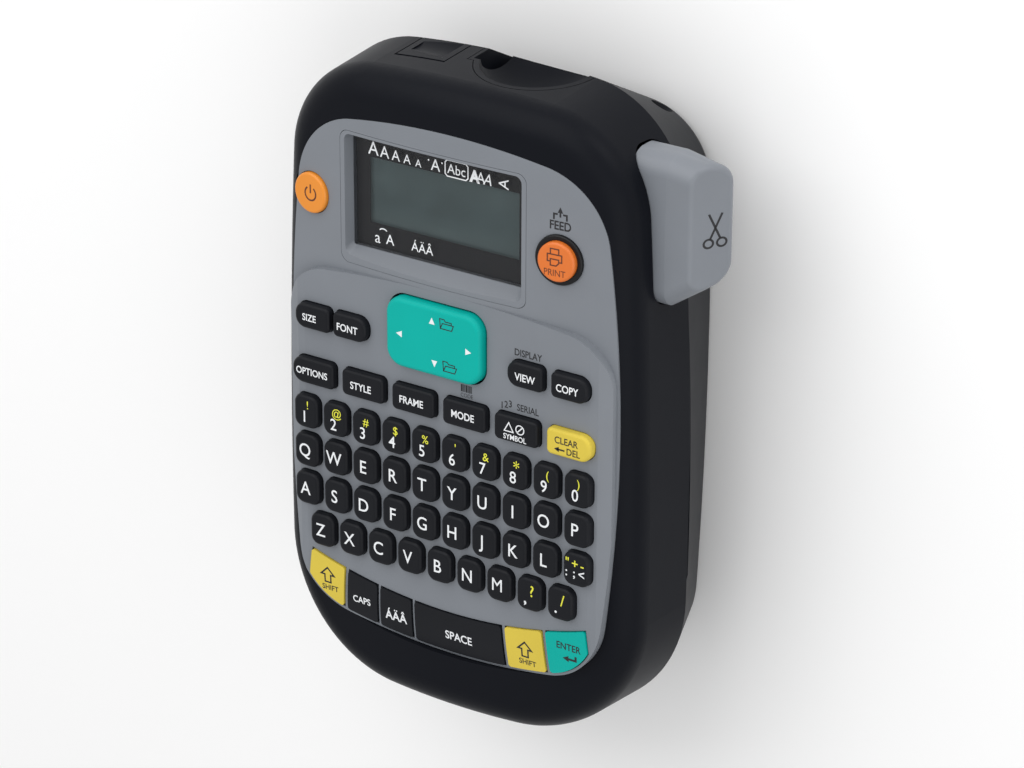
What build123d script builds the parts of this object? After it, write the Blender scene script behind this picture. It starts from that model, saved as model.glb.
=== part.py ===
from build123d import *
import os
from math import asin, atan2, cos, degrees, hypot, pi, radians, sin, sqrt

# A hand-held label maker, in millimetres. It lies on its back: +Z comes out of the
# keyboard, +Y points at the end where the tape comes out, +X at the cutter button.
# The origin is the centre of the flat back face.

# ---------------------------------------------------------------- driving dimensions
# Case
half_width = 54.0          # half the width at the seam between front and rear case
top_reach = 82.9           # origin to the tape end, at the seam
bottom_reach = 86.3        # origin to the lower end, at the seam
seam_z = 28.0              # height of the seam above the back face
front_z = 54.0             # highest line of the crowned front
front_draft = 4.2          # degrees the walls lean in towards the front
front_round = 8.0          # rounding between the walls and the front
rear_round = 6.0           # rounding between the walls and the back
crown_radius = 340.0       # the front is part of a cylinder along Y
wall = 2.2
outline_y = -31.0          # the case is widest here
side_arc = 1400.0          # radii of the case outline
top_arc = 267.0
bottom_arc = 330.0
top_corner = 28.0
bottom_corner = 37.5
back_half_width = 42.5     # outline of the back face, to which the rear walls lean in
back_y = 20.0              # the back face is widest here
back_top_reach = 68.8
back_bottom_reach = 78.3
back_top_corner = 19.0
back_bottom_corner = 19.5
deck_low = 46.0            # underside and top of the deck below the faceplate
deck_high = 48.4
groove_height = 2.3        # finger groove behind the seam on both sides
groove_low_y = -42.4
groove_high_y = 27.3
groove_depth = 1.2

# Faceplate
plate_half_width = 48.15
plate_top = 70.0
plate_bottom = 68.0
plate_side_arc = 410.0
plate_top_arc = 160.0
plate_bottom_arc = 155.0
plate_top_corner = 20.5
plate_bottom_corner = 18.5
plate_thickness = 1.8
plate_gap = 0.15
panel_half_width = 47.4    # flat keyboard panel within the crowned plate
panel_top = 29.2
panel_arc = 330.0          # radius of its upper edge
panel_corner = 13.0
panel_flat_half = 42.0     # the panel rolls down outside this half width
panel_roll = 2.6           # drop of the panel's side edges
panel_bottom_start = -51.0 # the panel rolls down below this line
panel_bottom_drop = 2.0

# Keys
key_top = 56.0
pitch_x = 8.93
pitch_y = 10.5
rows_x = -0.5              # middle of the rows of character keys
first_row_y = -11.45
key_width = 7.35
key_height = 8.85
key_corner = 2.4
key_round = 1.0
key_gap = 0.15
key_flange = 0.32
flange_high = 52.1
flange_low = 51.1
dome_top = 45.95           # top of the rubber domes under the keys
stem_low = 47.3
wide_key_height = 6.9
function_width = 12.6
function_pitch = 15.1
function_x = -0.55         # middle of the row of function keys
function_y = -0.25
pair_height = 6.55
pair_y = 14.45
press = 1.0                # travel of a key
nav_width = 27.9
nav_height = 18.2
nav_x = -1.85
nav_y = 17.15
nav_top = 56.3
nav_gap = 0.5
nav_pivot_z = 49.6
fan_arc = 131.0            # upper edge of the bottom row of keys
fan_top = -56.0
fan_lift = 0.5             # how far the bottom row stands above the plate
fan_inset = 0.9

# Display
display_x = -4.15
display_y = 47.4
display_width = 54.6
display_height = 34.2
display_corner = 2.5
window_low = 48.9
window_high = 50.1
window_left = -29.2
window_right = 20.4
window_bottom = 34.3
window_top = 63.3

# Round buttons, both square to the crowned plate
power_x = -40.6
power_y = 45.65
power_radius = 5.2
print_x = 32.15
print_y = 45.1
print_radius = 5.0
print_ring_radius = 6.3

# Tape path and print mechanism, shafts along Z
tape_x = -3.5
tape_low = 14.0
tape_high = 32.0
tape_thickness = 0.24
floor_low = 34.0           # chassis floor between the tape bay and the gears
floor_high = 36.0
gear_low = 36.6
gear_high = 40.4
gear_module = 0.6
platen_radius = 5.0
platen_x = tape_x - platen_radius - 0.3
platen_y = 54.0
platen_teeth = 24
idler_teeth = 20
pinion_teeth = 12
ribbon_teeth = 30
train_angle = 171.0        # direction from the platen to the idler and the motor
ribbon_angle = 246.0       # direction from the platen to the ribbon spindle
shaft_radius = 1.5
running_gap = 0.06

# Cutter
cut_y = 68.0               # plane where the two blades meet
blade_thickness = 1.0
blade_pivot_x = 1.5
blade_pivot_z = 10.6
cutter_travel = 6.0
cutter_low_y = 33.5
cutter_high_y = 71.5
cutter_low_z = 29.0
cutter_high_z = 41.3
cutter_gap = 0.35
cutter_inner_x = 44.6      # inner end of the button, clear of the tape bay when pressed
cutter_base_x = 54.0       # the button is straight up to here, then narrows
cutter_ridge_x = 60.2      # front edge of its outer face
cutter_face_x = 67.6       # rear edge of its outer face
slider_low = 37.5
slider_high = 40.5

# Cartridge, batteries and back lid
cartridge_half = 36.0
cartridge_low_y = -8.0
cartridge_high_y = 46.0
cartridge_low_z = 9.6
cartridge_high_z = 33.4
cell_radius = 7.1
cell_length = 50.5
cell_rows = 3
cell_layers = 2
cell_pitch = 14.6
cell_first_y = -58.8
cell_first_z = 11.2
lid_half_width = 38.5
lid_high_y = 60.0
lid_axis_y = -66.5
lid_thickness = 2.2
lid_gap = 0.3
lid_corner = 12.0
latch_left = -24.0
latch_right = -10.0
latch_front = 39.2
latch_axis_y = 71.5        # line about which the latch bends
latch_axis_z = 9.4
latch_knuckle = 0.9
latch_gap = 0.35
boss_places = [(-32.0, 70.0), (32.0, 70.0), (-36.5, -62.0), (36.5, -62.0)]
boss_radius = 3.0
screw_radius = 1.25
cup_x = 10.0               # dished tape exit in the top end
cup_y = 84.0
cup_z = 27.0
cup_half_x = 14.4
cup_half_z = 17.2
cup_depth = 11.0


# ---------------------------------------------------------------- shape helpers
def save(node, shape):
    """Write one node's STEP file."""
    export_step(shape, f"parts/{node}.step")


def box(x0, x1, y0, y1, z0, z1):
    """Box between two corners."""
    centre = Vector((x0 + x1) / 2, (y0 + y1) / 2, (z0 + z1) / 2)
    return Pos(centre) * Box(x1 - x0, y1 - y0, z1 - z0)


def post(x, y, radius, z0, z1):
    """Cylinder standing along Z."""
    return Pos(x, y, (z0 + z1) / 2) * Cylinder(radius, z1 - z0)


def slab(face, z0, z1, taper=0.0):
    """Face drawn on z = 0, stood up between two heights."""
    return extrude(Pos(0, 0, z0) * face, amount=z1 - z0, dir=(0, 0, 1), taper=taper)


def corner_centre(top_centre, side_centre, reach_top, reach_side):
    """Centre of the corner arc that runs smoothly into the top and side arcs."""
    dx = side_centre[0] - top_centre[0]
    dy = side_centre[1] - top_centre[1]
    gap = hypot(dx, dy)
    along = (reach_top ** 2 - reach_side ** 2 + gap ** 2) / (2 * gap)
    across = sqrt(reach_top ** 2 - along ** 2)
    ux = dx / gap
    uy = dy / gap
    return (top_centre[0] + along * ux + across * uy, top_centre[1] + along * uy - across * ux)


def corner_points(half, reach, side, end, corner):
    """End, middle and start points of the corner arc in the first quadrant."""
    top_centre = (0.0, reach - end)
    side_centre = (half - side, 0.0)
    centre = corner_centre(top_centre, side_centre, end - corner, side - corner)
    if centre[0] < 0 or centre[1] < 0:
        raise ValueError("corner arc lies outside its quadrant")
    upper = atan2(centre[1] - top_centre[1], centre[0] - top_centre[0])
    lower = atan2(centre[1] - side_centre[1], centre[0] - side_centre[0])
    points = []
    for angle in (upper, (upper + lower) / 2, lower):
        points.append((centre[0] + corner * cos(angle), centre[1] + corner * sin(angle)))
    return points


def squircle(half, top, bottom, side, end_top, end_bottom, corner_up, corner_down, inset=0.0):
    """Rounded outline of eight tangent arcs, drawn parallel and inset."""
    up = corner_points(half - inset, top - inset, side - inset, end_top - inset, corner_up - inset)
    down = corner_points(half - inset, bottom - inset, side - inset, end_bottom - inset, corner_down - inset)
    right_top = [(x, y) for x, y in up]
    left_top = [(-x, y) for x, y in up]
    right_low = [(x, -y) for x, y in down]
    left_low = [(-x, -y) for x, y in down]
    edges = [
        ThreePointArc(left_top[0], (0, top - inset), right_top[0]),
        ThreePointArc(*right_top),
        ThreePointArc(right_top[2], (half - inset, 0), right_low[2]),
        ThreePointArc(*reversed(right_low)),
        ThreePointArc(right_low[0], (0, inset - bottom), left_low[0]),
        ThreePointArc(*left_low),
        ThreePointArc(left_low[2], (inset - half, 0), left_top[2]),
        ThreePointArc(*reversed(left_top)),
    ]
    return Face(Wire(edges))


def case_outline(inset=0.0):
    """Outline of the case at the seam."""
    return Pos(0, outline_y) * squircle(half_width, top_reach - outline_y, bottom_reach + outline_y, side_arc,
                                        top_arc, bottom_arc, top_corner, bottom_corner, inset)


def back_outline(inset=0.0):
    """Outline of the back face, before its edge is rounded."""
    return Pos(0, back_y) * squircle(back_half_width, back_top_reach - back_y, back_bottom_reach + back_y,
                                     side_arc, top_arc, bottom_arc, back_top_corner, back_bottom_corner, inset)


def plate_outline(inset=0.0):
    return squircle(plate_half_width, plate_top, plate_bottom, plate_side_arc, plate_top_arc,
                    plate_bottom_arc, plate_top_corner, plate_bottom_corner, inset)


def crown(drop=0.0):
    """Everything below the crowned front, or below a surface parallel to it."""
    radius = crown_radius - drop
    barrel = Cylinder(radius, 400)
    return Pos(0, 0, front_z - crown_radius) * (Rot(90, 0, 0) * barrel)


def crown_tilt(x):
    """Angle in degrees by which the crowned plate leans at a distance x from its middle."""
    return degrees(asin(x / crown_radius))


def on_crown(x, y):
    """Location on the crowned plate, with its Z axis square to the surface."""
    lean = crown_tilt(x)
    height = front_z - crown_radius * (1 - cos(radians(lean)))
    return Pos(x, y, height) * Rot(0, lean, 0)


def front_body(inset=0.0):
    """Solid front half of the case, with its rounded front edge."""
    prism = slab(case_outline(inset), seam_z, front_z + 4, taper=front_draft)
    body = prism & crown(inset)
    rim = body.faces().sort_by(Axis.Z)[-1].edges()
    return fillet(rim, max(front_round - inset, 2.0))


def leaning_body(inset):
    """Block whose walls lean in from the seam to the back face."""
    block = loft([back_outline(inset), Pos(0, 0, seam_z) * case_outline(inset)], ruled=True)
    return block & box(-90, 90, -120, 120, inset, seam_z)


def rear_body():
    """Solid rear half of the case, with its rounded back edge."""
    body = leaning_body(0.0)
    rim = body.faces().sort_by(Axis.Z)[0].edges()
    return fillet(rim, rear_round)


def keyboard_panel():
    """Outline of the flat panel that carries the keys."""
    face = Pos(0, (panel_top - 90) / 2) * Rectangle(2 * panel_half_width, panel_top + 90)
    face &= Pos(0, panel_top - panel_arc) * Circle(panel_arc)
    return fillet(face.vertices().group_by(Axis.Y)[-1], panel_corner)


def panel_top_shape(lift=0.0):
    """Everything below the keyboard panel's surface, or below that surface lifted a little."""
    z = front_z + lift
    edge_x = plate_half_width + 1
    across = Polyline((-edge_x, 0), (-edge_x, z - panel_roll), (-panel_flat_half - 2.2, z - 0.35),
                      (-panel_flat_half, z), (panel_flat_half, z), (panel_flat_half + 2.2, z - 0.35),
                      (edge_x, z - panel_roll), (edge_x, 0), close=True)
    side_view = extrude(Plane.XZ * make_face(across), amount=100, both=True)
    low_y = -plate_bottom - 2
    mid_y = (panel_bottom_start + low_y) / 2
    fall = panel_bottom_drop
    bend = ThreePointArc((panel_bottom_start, z), (mid_y, z - fall / 4), (low_y, z - fall))
    rest = Polyline((low_y, z - fall), (low_y, 0), (100, 0), (100, z), (panel_bottom_start, z))
    along = extrude(Plane.YZ * make_face([bend, rest]), amount=70, both=True)
    return side_view & along


def rounded(width, height, radius):
    return RectangleRounded(width, height, min(radius, min(width, height) / 2 - 0.01))


def half_round(width, height, small, side):
    """Key outline with one end round and the other nearly square. side is -1, 0 or 1."""
    face = Rectangle(width, height)
    big = height / 2 - 0.4
    if side == 0:
        return fillet(face.vertices(), small)
    ends = face.vertices().group_by(Axis.X)
    face = fillet(ends[-1 if side > 0 else 0], big)
    square_end = face.vertices().group_by(Axis.X)[0 if side > 0 else -1]
    return fillet(square_end, small)


def key_solid(face, grown, top, edge_round):
    """Key with a cap above the plate, a flange under it and a stem to the dome."""
    cap = slab(face, flange_high - 0.5, top)
    cap = fillet(cap.faces().sort_by(Axis.Z)[-1].edges(), edge_round)
    flange = slab(grown, flange_low, flange_high)
    stem = slab(face, stem_low, flange_low)
    return cap + flange + stem


# ---------------------------------------------------------------- key layout
def row_key_x(row):
    """Key centres along one of the four character rows."""
    count = 9 if row == 3 else 10
    return [rows_x + (i - (count - 1) / 2) * pitch_x for i in range(count)]


def row_key_y(row):
    return first_row_y - row * pitch_y


function_keys = [
    ("key_options", -2.5, -1), ("key_style", -1.5, 0), ("key_frame", -0.5, 0),
    ("key_mode", 0.5, 0), ("key_symbol", 1.5, 0), ("key_clear", 2.5, 1),
]
pair_keys = [
    ("key_size", -38.3, 10.5, -1), ("key_font", -27.0, 10.1, 1),
    ("key_preview", 24.55, 10.2, -1), ("key_copies", 37.15, 10.4, 1),
]
fan_keys = [
    ("key_shift_left", -41.6, -30.9), ("key_caps", -29.7, -20.6), ("key_accent", -19.6, -10.1),
    ("key_space", -9.1, 17.1), ("key_shift_right", 18.3, 29.4), ("key_enter", 30.6, 42.7),
]
character_rows = ["keys_digits", "keys_upper", "keys_home", "keys_lower"]


def wide_keys():
    """Name, outline and place of the function keys and the four upper keys."""
    keys = []
    for name, step, side in function_keys:
        face = half_round(function_width, wide_key_height, 1.4, side)
        keys.append((name, face, function_x + step * function_pitch, function_y))
    for name, x, width, side in pair_keys:
        face = half_round(width, pair_height, 1.4, side)
        keys.append((name, face, x, pair_y))
    return keys


def fan_band(inset):
    """Curved band along the lower edge of the plate, where the bottom row lies."""
    band = plate_outline(inset)
    return band - Pos(0, fan_top + fan_arc) * Circle(fan_arc + inset - fan_inset)


def fan_face(left, right, grow=0.0):
    """Outline of one key of the bottom row, whose sides fan out a little."""
    spread_y = 330.0
    high = -44.0
    low = -72.0
    middle = -58.0
    corners = []
    for x, y in ((left - grow, high), (right + grow, high), (right + grow, low), (left - grow, low)):
        corners.append((x * (1 + (middle - y) / spread_y), y))
    strip = make_face(Polyline(*corners, close=True))
    return (strip & fan_band(fan_inset - grow)).faces()[0]


# ---------------------------------------------------------------- case
def make_front_case():
    cavity = slab(case_outline(wall), seam_z - 1, deck_low, taper=front_draft)
    cavity = chamfer(cavity.faces().sort_by(Axis.Z)[-1].edges(), 2.4)
    case = front_body() - cavity
    case -= slab(plate_outline(-plate_gap), deck_high, front_z + 5)
    for x, y in boss_places:
        case += post(x, y, boss_radius, seam_z + 0.3, deck_low + 0.5)
        case -= post(x, y, screw_radius + 0.05, seam_z - 1, deck_low - 2)
    case -= key_pockets(52, 0.1)
    case -= Pos(nav_x, nav_y, 48) * Box(nav_width + 2.2, nav_height + 2.2, 12)
    case -= slab(fan_band(fan_inset - 0.6), 40, 52) & box(-43, 43, -70, -40, 40, 52)
    case += make_nav_bridge()
    case -= box(-26.3, 20.3, 38.2, 62.0, 40, 52)
    for x, y, radius in ((power_x, power_y, power_radius + 1), (print_x, print_y, print_radius - 0.6)):
        case -= on_crown(x, y) * Pos(0, 0, -6) * Cylinder(radius, 12)
    case -= extrude(Plane.YZ.offset(cutter_inner_x - 8) * cutter_profile(cutter_gap), amount=34)
    slot_top = latch_front + 2 * latch_gap
    case -= box(latch_left - latch_gap, latch_right + latch_gap, 74, 90, seam_z - 1, slot_top)
    case -= cup_cut()
    case -= Pos(-52, jack_y, jack_z) * Rot(0, 90, 0) * Cylinder(3.0, 12)
    return case


def key_pockets(high, grow):
    """Room round the flanges of the keys, in the deck and in the underside of the plate."""
    room = box(-45.6 - grow, 45.2 + grow, -48.4 - grow, 4.3 + grow, 40, high)
    room += box(-44.6 - grow, -20.4 + grow, 10.3 - grow, 18.6 + grow, 40, high)
    return room + box(18.5 - grow, 43.4 + grow, 10.3 - grow, 18.6 + grow, 40, high)


def make_nav_bridge():
    """Bar across the deck under the navigation pad, with two bearing posts."""
    low_y = nav_y - 1.6
    high_y = nav_y + 1.6
    bridge = box(nav_x - 17, nav_x + 17, low_y, high_y, deck_low, deck_low + 1.6)
    for side in (-1, 1):
        x0, x1 = sorted((nav_x + side * 3.6, nav_x + side * 5.6))
        bridge += box(x0, x1, low_y, high_y, deck_low, nav_pivot_z + 1.4)
    return bridge - Pos(nav_x, nav_y, nav_pivot_z) * Rot(0, 90, 0) * Cylinder(0.7 + running_gap, 14)


def make_rear_case():
    case = rear_body() - rear_cavity()
    for x, y in boss_places:
        case += post(x, y, boss_radius, 1.0, seam_z) & rear_body()
        case -= post(x, y, screw_radius + 0.2, -1, seam_z + 1)
        case -= post(x, y, 2.45, -1, 16)
    case -= slab(lid_outline(-lid_gap), -1, lid_thickness + 6)
    swing_half = lid_half_width - lid_corner + 8
    case -= box(-swing_half, swing_half, lid_axis_y - lid_thickness / 2 - lid_gap, lid_axis_y + 2.8, -1, 8)
    case -= box(latch_left - latch_gap, latch_right + latch_gap, 55, 90, -1, seam_z + 1)
    for side in (-1, 1):
        x = side * (half_width - groove_depth + 2)
        case -= Pos(x, (groove_low_y + groove_high_y) / 2, seam_z - groove_height / 2) * Box(
            4, groove_high_y - groove_low_y, groove_height)
    case -= cup_cut()
    return case


def rear_cavity(inset=wall):
    """Room inside the rear half of the case."""
    body = leaning_body(inset)
    rim = body.faces().sort_by(Axis.Z)[0].edges()
    body = fillet(rim, rear_round - 2.0)
    return body + slab(case_outline(inset), seam_z - 0.01, seam_z + 1)


def lid_outline(inset=0.0):
    """Outline of the back lid. Its lower edge is the hinge line."""
    low = lid_axis_y
    width = 2 * (lid_half_width - inset)
    height = lid_high_y - inset - low
    face = Pos(0, low + height / 2) * Rectangle(width, height)
    return fillet(face.vertices(), lid_corner - inset)


def make_back_lid():
    """Flat lid with a strip that wraps over the tape end, below the latch."""
    shell = rear_body() - rear_cavity()
    panel = slab(lid_outline(), 0, lid_thickness) & rear_body()
    barrel_length = 2 * (lid_half_width - lid_corner) - 1
    barrel = Pos(0, lid_axis_y, lid_thickness / 2) * Rot(0, 90, 0) * Cylinder(lid_thickness / 2, barrel_length)
    strip = shell & box(latch_left, latch_right, lid_high_y - 6, 90, -1, latch_axis_z - 1.5)
    ribs = box(-30, 30, 10, 11.2, lid_thickness - 0.1, 9.2) + box(-30, 30, 30, 31.2, lid_thickness - 0.1, 9.2)
    return panel + barrel + strip + ribs


def make_lid_latch():
    """Springy tab with a finger scoop, which lets the lid go."""
    shell = (front_body() - front_body(2.0)) + (rear_body() - rear_cavity())
    tab = shell & box(latch_left, latch_right, 66, 90, latch_axis_z, latch_front)
    knuckle = Cylinder(latch_knuckle, latch_right - latch_left)
    tab += Pos((latch_left + latch_right) / 2, latch_axis_y, latch_axis_z) * Rot(0, 90, 0) * knuckle
    scoop_x = (latch_left + latch_right) / 2
    scoop = Pos(scoop_x, top_reach + 8.8, latch_front - 5.5) * Rot(0, 90, 0) * Cylinder(10.5, 10.5)
    return tab - scoop


def cup_body(grow=0.0):
    ball = Sphere(1.0)
    return Pos(cup_x, cup_y, cup_z) * scale(ball, (cup_half_x + grow, cup_depth + grow, cup_half_z + grow))


def slot_cut(grow=0.0):
    """Slot where the tape leaves, beside the dish."""
    return box(tape_x - 1.2 - grow, tape_x + 1.2 + grow, 66, 95, tape_low - 1.2 - grow, tape_high + 2.6 + grow)


def cup_cut():
    return cup_body(1.6) + slot_cut(1.2)


def make_tape_exit_guide():
    """Dish and slot lining in the tape end, flush with the case."""
    outer = front_body() + rear_body()
    solid = (cup_body(1.4) + slot_cut(1.0)) & outer
    solid &= box(-30, 50, 71.5, 95, 0, 60)
    return solid - cup_body() - slot_cut()


def make_faceplate():
    plate = slab(plate_outline(), 44, 60)
    panel = slab(keyboard_panel(), 40, 60)
    upper = (plate & crown()) - panel
    lower = plate & panel & panel_top_shape()
    plate = upper + lower
    plate -= crown(plate_thickness)
    pocket = flange_high + 0.1
    plate -= key_pockets(pocket, 0.0)
    for row in range(4):
        for x in row_key_x(row):
            hole = rounded(key_width + 2 * key_gap, key_height + 2 * key_gap, key_corner + key_gap)
            plate -= slab(Pos(x, row_key_y(row)) * hole, 40, 60)
    for name, face, x, y in wide_keys():
        hole = offset(face, 0.2)
        plate -= slab(Pos(x, y) * hole, 40, 60)
    plate -= slab(Pos(nav_x, nav_y) * rounded(nav_width + 2 * nav_gap, nav_height + 2 * nav_gap, 5), 40, 60)
    for name, left, right in fan_keys:
        plate -= slab(fan_face(left, right, 0.2), 40, 60)
    plate -= slab(Pos(display_x, display_y) * rounded(display_width, display_height, display_corner), 40, 60)
    for x, y, radius in ((power_x, power_y, power_radius + 0.2), (print_x, print_y, print_ring_radius + 0.05)):
        plate -= on_crown(x, y) * Cylinder(radius, 14)
    return plate


# ---------------------------------------------------------------- display
def make_display_bezel():
    """Frame around the window, with walls that slope down to the glass."""
    outer = rounded(display_width - 0.2, display_height - 0.2, display_corner)
    frame = slab(Pos(display_x, display_y) * outer, deck_high + 0.05, 60) & crown()
    floor_z = window_high + 0.1
    low = Pos((window_left + window_right) / 2, (window_bottom + window_top) / 2, floor_z)
    low *= rounded(window_right - window_left, window_top - window_bottom, 1.2)
    high = Pos(display_x, display_y, front_z + 0.6) * rounded(display_width - 1.4, display_height - 1.4, 2.2)
    frame -= loft([low.face(), high.face()])
    opening = Pos((window_left + window_right) / 2, (window_bottom + window_top) / 2)
    opening *= Rectangle(window_right - window_left - 0.6, window_top - window_bottom - 0.6)
    frame -= slab(opening, 40, floor_z + 0.3)
    seat = Pos((window_left + window_right) / 2, (window_bottom + window_top) / 2)
    seat *= Rectangle(window_right - window_left, window_top - window_bottom)
    return frame - slab(seat, window_low - 0.1, floor_z + 0.1)


def make_display_window():
    inset = 0.1
    return box(window_left + inset, window_right - inset, window_bottom + inset, window_top - inset,
               window_low, window_high)


def make_lcd_panel():
    """Glass cell of the display with its metal-edged holder, on the board."""
    cell = box(-25.7, 19.7, 38.8, 61.4, 45.4, 48.0)
    holder = box(-27.8, 21.8, 36.2, 64.0, 44.7, 45.9)
    return holder + cell


# ---------------------------------------------------------------- keys
def make_character_row(row):
    """All the keys of one row, in one group of separate solids."""
    solids = []
    for x in row_key_x(row):
        face = Pos(x, row_key_y(row)) * rounded(key_width, key_height, key_corner)
        width = key_width + 2 * key_flange
        height = key_height + 2 * key_flange
        grown = Pos(x, row_key_y(row)) * rounded(width, height, key_corner)
        solids.append(key_solid(face, grown, key_top, key_round).solid())
    return Compound(children=solids)


def make_wide_key(face, x, y):
    grown = Pos(x, y) * offset(face, key_flange + 0.1)
    return key_solid(Pos(x, y) * face, grown, key_top, 0.9)


def make_fan_key(left, right):
    """Key of the bottom row: nearly flush, its top parallel to the plate."""
    cap = slab(fan_face(left, right), stem_low + 2.3, 60)
    cap = fillet(cap.edges().filter_by(Axis.Z), 0.8)
    return cap & panel_top_shape(fan_lift)


def make_nav_pad():
    face = Pos(nav_x, nav_y) * rounded(nav_width, nav_height, 4.6)
    pad = slab(face, nav_pivot_z + 2.2, nav_top)
    pad = fillet(pad.faces().sort_by(Axis.Z)[-1].edges(), 1.3)
    ear = box(nav_x - 1.2, nav_x + 1.2, nav_y - 6.2, nav_y + 6.2, nav_pivot_z - 1.2, nav_pivot_z + 2.3)
    cut = box(nav_x - 2, nav_x + 2, nav_y - 4.6, nav_y + 4.6, nav_pivot_z - 2, nav_pivot_z + 2.1)
    pin = Pos(nav_x, nav_y, nav_pivot_z) * Rot(90, 0, 0) * Cylinder(0.6, 9.4)
    return pad + (ear - cut) + pin


def make_nav_gimbal():
    """Cross block under the pad, which lets it rock both ways."""
    block = box(nav_x - 2.4, nav_x + 2.4, nav_y - 4.2, nav_y + 4.2, nav_pivot_z - 1.5, nav_pivot_z + 1.5)
    block -= Pos(nav_x, nav_y, nav_pivot_z) * Rot(90, 0, 0) * Cylinder(0.6 + running_gap, 12)
    for side in (-1, 1):
        block += Pos(nav_x + side * 3.9, nav_y, nav_pivot_z) * Rot(0, 90, 0) * Cylinder(0.7, 3.2)
    return block


def make_round_button(x, y, radius, proud, depth):
    """Round button square to the crowned plate, with a soft edge and a stem."""
    cap = Pos(0, 0, (proud - depth) / 2) * Cylinder(radius, proud + depth)
    cap = fillet(cap.faces().sort_by(Axis.Z)[-1].edges(), 0.7)
    return on_crown(x, y) * cap


def make_print_ring():
    ring = Pos(0, 0, -1.2) * Cylinder(print_ring_radius, 4.0)
    ring = fillet(ring.faces().sort_by(Axis.Z)[-1].edges(), 0.4)
    ring -= Cylinder(print_radius + 0.12, 12)
    return on_crown(print_x, print_y) * ring


def make_keypad_membrane():
    """Rubber sheet with a low dome under each key."""
    sheet = box(-44.8, 44.8, -47.2, 27.2, 44.75, 45.4)
    sheet -= box(-50, 50, 28, 40, 40, 50)
    for row in range(4):
        for x in row_key_x(row):
            sheet += post(x, row_key_y(row), 2.2, 45.3, dome_top)
    for name, face, x, y in wide_keys():
        sheet += post(x, y, 2.2, 45.3, dome_top)
    tail = slab(fan_band(fan_inset + 0.4), 44.75, dome_top)
    neck = box(-30, 30, -56, -47, 44.75, 45.4)
    return sheet + neck + tail


# ---------------------------------------------------------------- electronics
jack_y = 18.0
jack_z = 39.6


def make_main_board():
    board = slab(case_outline(7.5), 43.0, 44.6)
    board -= box(37.5, 60, 27, 90, 40, 50)
    for x, y in boss_places:
        board -= post(x, y, boss_radius + 0.5, 40, 50)
    board -= box(-60, 60, 67, 90, 40, 50)
    return board


def make_board_components():
    """Chips, connectors and capacitors under the board."""
    solids = []
    layout = [
        (-10, -20, 12, 12, 1.6), (12, -24, 9, 14, 1.4), (-30, -8, 6, 8, 1.3), (28, -12, 8, 5, 2.4),
        (-34, -36, 10, 4, 3.2), (30, -40, 12, 4, 3.2), (4, 4, 16, 3.5, 2.0), (-22, -48, 5, 5, 1.2),
    ]
    for x, y, width, depth, height in layout:
        solids.append(box(x - width / 2, x + width / 2, y - depth / 2, y + depth / 2, 43.0 - height, 43.0))
    for x, y in ((-38, 2), (38, 0), (22, 12)):
        solids.append(post(x, y, 2.5, 37.6, 43.0))
    return Compound(children=solids)


def make_dc_jack():
    body = box(-49.4, -38.5, jack_y - 4.4, jack_y + 4.4, 36.3, 42.9)
    body -= Pos(-46, jack_y, jack_z) * Rot(0, 90, 0) * Cylinder(2.6, 10)
    return body + Pos(-45, jack_y, jack_z) * Rot(0, 90, 0) * Cylinder(0.8, 9)


def cell_places():
    places = []
    for layer in range(cell_layers):
        for row in range(cell_rows):
            places.append((cell_first_y + row * cell_pitch, cell_first_z + layer * cell_pitch))
    return places


def make_battery_cells():
    """Six AA cells lying across the case, in two layers."""
    solids = []
    for i, (y, z) in enumerate(cell_places()):
        end = 1 if i % 2 else -1
        can = Cylinder(cell_radius, cell_length - 1.4)
        can = fillet(can.edges(), 0.6)
        nub = Pos(0, 0, (cell_length - 1.4) / 2 + 0.6) * Cylinder(2.7, 1.4)
        solids.append(Pos(0, y, z) * Rot(0, end * 90, 0) * (can + nub))
    return Compound(children=solids)


def make_battery_contacts():
    """Plates and cone springs at the ends of the cells."""
    solids = []
    for i, (y, z) in enumerate(cell_places()):
        for side in (-1, 1):
            plate = Pos(side * 29.0, y, z) * Box(0.5, 11, 11)
            is_spring = side == (-1 if i % 2 else 1) * -1
            if not is_spring:
                solids.append(plate)
                continue
            spring = Pos(side * 27.4, y, z) * Rot(0, side * 90, 0) * Cone(2.2, 4.2, 2.8)
            solids.append(plate + spring)
    return Compound(children=solids)


# ---------------------------------------------------------------- chassis
bay_wall = 1.6
bay_low = 2.8
cells_half_x = 29.4
cells_low_y = -66.4
cells_high_y = -22.2


def ring_wall(x0, x1, y0, y1, z0, z1):
    """Four walls round a pocket."""
    outer = box(x0 - bay_wall, x1 + bay_wall, y0 - bay_wall, y1 + bay_wall, z0, z1)
    return outer - box(x0, x1, y0, y1, z0 - 1, z1 + 1)


def train_place(angle, teeth):
    """Centre of a gear that meshes with the platen's gear."""
    reach = (platen_teeth + teeth) * gear_module / 2
    return platen_x + reach * cos(radians(angle)), platen_y + reach * sin(radians(angle))


idler_x, idler_y = train_place(train_angle, idler_teeth)
motor_x, motor_y = train_place(train_angle, 2 * idler_teeth + pinion_teeth)
spindle_x, spindle_y = train_place(ribbon_angle, ribbon_teeth)
head_pin_x = 2.2
head_pin_y = 43.2
tape_roll_x = 14.5
tape_roll_y = 17.0
supply_x = -21.0
supply_y = 6.0


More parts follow.
